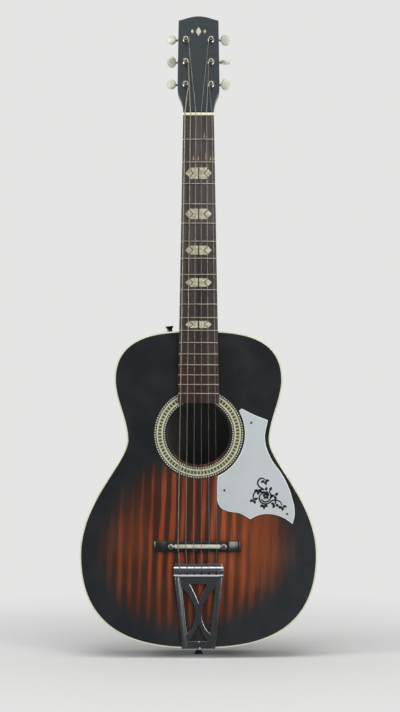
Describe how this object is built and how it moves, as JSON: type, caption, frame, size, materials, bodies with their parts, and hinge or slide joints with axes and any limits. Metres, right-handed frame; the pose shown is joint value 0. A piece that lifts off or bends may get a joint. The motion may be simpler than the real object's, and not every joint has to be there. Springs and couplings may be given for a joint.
{
  "type": "guitar",
  "caption": "Small steel-string acoustic guitar: hourglass body with round soundhole, stamped metal tailpiece, pale pickguard, fretted neck and geared tuners that turn their string posts.",
  "frame": {"origin": "centre of the flat end face of the strap button at the body's tail, the lowest point of the upright guitar", "axes": "+Z along the neck towards the head, -Y out of the soundboard towards the player's audience, +X towards the treble strings (the viewer's right)"},
  "size_m": [0.3404, 0.1061, 0.9254],
  "materials": {
    "soundboard_finish": "gloss lacquer, black edge burst over a striped red-brown middle",
    "body_lacquer": "black gloss lacquer",
    "binding_cream": "aged cream",
    "rosette_inlay": "cream ring with dark blocks and checks",
    "neck_lacquer": "black gloss lacquer",
    "inner_wood": "bare, unfinished",
    "fretboard_wood": "dark reddish brown, oiled, worn",
    "fret_wire": "polished, tarnished",
    "nut_ivory": "ivory coloured",
    "bridge_wood": "black, satin",
    "saddle_white": "off-white",
    "bolt_steel": "dulled nickel",
    "tailpiece_chrome": "polished",
    "strap_button_black": "black",
    "pickguard_plastic": "pale grey white, with a dark scroll ornament",
    "string_wound": "bronze wound over steel",
    "string_plain": "plain steel wire",
    "tuner_metal": "nickel plated",
    "tuner_button_plastic": "pale, aged"
  },
  "bodies": {
    "body": {"soundboard": "soundboard_finish", "back": "body_lacquer", "bass_rib": "body_lacquer", "treble_rib": "body_lacquer", "top_binding": "binding_cream", "rosette": "rosette_inlay", "neck": "neck_lacquer", "neck_block": "inner_wood", "tail_block": "inner_wood", "upper_brace": "inner_wood", "lower_brace": "inner_wood", "bridge_plate": "inner_wood", "fretboard": "fretboard_wood", "nut": "nut_ivory", "bridge": "bridge_wood", "saddle": "saddle_white", "bridge_bolt_bass": "bolt_steel", "bridge_bolt_treble": "bolt_steel", "tailpiece": "tailpiece_chrome", "end_pin": "strap_button_black", "shoulder_strap_button": "strap_button_black", "pickguard": "pickguard_plastic", "tuner_plate_bass": "tuner_metal", "tuner_plate_treble": "tuner_metal", "fret_01": "fret_wire", "fret_02": "fret_wire", "fret_03": "fret_wire", "fret_04": "fret_wire", "fret_05": "fret_wire", "fret_06": "fret_wire", "fret_07": "fret_wire", "fret_08": "fret_wire", "fret_09": "fret_wire", "fret_10": "fret_wire", "fret_11": "fret_wire", "fret_12": "fret_wire", "fret_13": "fret_wire", "fret_14": "fret_wire", "fret_15": "fret_wire", "fret_16": "fret_wire", "fret_17": "fret_wire", "fret_18": "fret_wire", "string_1": "string_wound", "string_2": "string_wound", "string_3": "string_wound", "string_4": "string_wound", "string_5": "string_plain", "string_6": "string_plain"},
    "tuner_key_bass_1": {"tuner_key_bass_1": "tuner_button_plastic"},
    "tuner_key_bass_2": {"tuner_key_bass_2": "tuner_button_plastic"},
    "tuner_key_bass_3": {"tuner_key_bass_3": "tuner_button_plastic"},
    "tuner_key_treble_1": {"tuner_key_treble_1": "tuner_button_plastic"},
    "tuner_key_treble_2": {"tuner_key_treble_2": "tuner_button_plastic"},
    "tuner_key_treble_3": {"tuner_key_treble_3": "tuner_button_plastic"},
    "tuner_post_bass_1": {"tuner_post_bass_1": "tuner_metal"},
    "tuner_post_bass_2": {"tuner_post_bass_2": "tuner_metal"},
    "tuner_post_bass_3": {"tuner_post_bass_3": "tuner_metal"},
    "tuner_post_treble_1": {"tuner_post_treble_1": "tuner_metal"},
    "tuner_post_treble_2": {"tuner_post_treble_2": "tuner_metal"},
    "tuner_post_treble_3": {"tuner_post_treble_3": "tuner_metal"}
  },
  "joints": [
    {"name": "tuner_key_bass_1_turn", "type": "hinge", "parent": "body", "child": "tuner_key_bass_1", "pos_m": [-0.0179, -0.01573, 0.82569], "axis": [1, 0, 0], "continuous": true},
    {"name": "tuner_post_bass_1_turn", "type": "hinge", "parent": "body", "child": "tuner_post_bass_1", "pos_m": [-0.0179, -0.03758, 0.82238], "axis": [0, -0.9703, 0.2419], "continuous": true},
    {"name": "tuner_key_bass_2_turn", "type": "hinge", "parent": "body", "child": "tuner_key_bass_2", "pos_m": [-0.0179, -0.00738, 0.85917], "axis": [1, 0, 0], "continuous": true},
    {"name": "tuner_post_bass_2_turn", "type": "hinge", "parent": "body", "child": "tuner_post_bass_2", "pos_m": [-0.0179, -0.02923, 0.85586], "axis": [0, -0.9703, 0.2419], "continuous": true},
    {"name": "tuner_key_bass_3_turn", "type": "hinge", "parent": "body", "child": "tuner_key_bass_3", "pos_m": [-0.0179, 0.00096, 0.89264], "axis": [1, 0, 0], "continuous": true},
    {"name": "tuner_post_bass_3_turn", "type": "hinge", "parent": "body", "child": "tuner_post_bass_3", "pos_m": [-0.0179, -0.02089, 0.88933], "axis": [0, -0.9703, 0.2419], "continuous": true},
    {"name": "tuner_key_treble_1_turn", "type": "hinge", "parent": "body", "child": "tuner_key_treble_1", "pos_m": [0.0179, -0.01573, 0.82569], "axis": [1, 0, 0], "continuous": true},
    {"name": "tuner_post_treble_1_turn", "type": "hinge", "parent": "body", "child": "tuner_post_treble_1", "pos_m": [0.0179, -0.03758, 0.82238], "axis": [0, -0.9703, 0.2419], "continuous": true},
    {"name": "tuner_key_treble_2_turn", "type": "hinge", "parent": "body", "child": "tuner_key_treble_2", "pos_m": [0.0179, -0.00738, 0.85917], "axis": [1, 0, 0], "continuous": true},
    {"name": "tuner_post_treble_2_turn", "type": "hinge", "parent": "body", "child": "tuner_post_treble_2", "pos_m": [0.0179, -0.02923, 0.85586], "axis": [0, -0.9703, 0.2419], "continuous": true},
    {"name": "tuner_key_treble_3_turn", "type": "hinge", "parent": "body", "child": "tuner_key_treble_3", "pos_m": [0.0179, 0.00096, 0.89264], "axis": [1, 0, 0], "continuous": true},
    {"name": "tuner_post_treble_3_turn", "type": "hinge", "parent": "body", "child": "tuner_post_treble_3", "pos_m": [0.0179, -0.02089, 0.88933], "axis": [0, -0.9703, 0.2419], "continuous": true}
  ],
  "couplings": [
    {"joint": "tuner_post_bass_1_turn", "follows": "tuner_key_bass_1_turn", "ratio": 0.071429},
    {"joint": "tuner_post_bass_2_turn", "follows": "tuner_key_bass_2_turn", "ratio": 0.071429},
    {"joint": "tuner_post_bass_3_turn", "follows": "tuner_key_bass_3_turn", "ratio": 0.071429},
    {"joint": "tuner_post_treble_1_turn", "follows": "tuner_key_treble_1_turn", "ratio": 0.071429},
    {"joint": "tuner_post_treble_2_turn", "follows": "tuner_key_treble_2_turn", "ratio": 0.071429},
    {"joint": "tuner_post_treble_3_turn", "follows": "tuner_key_treble_3_turn", "ratio": 0.071429}
  ]
}
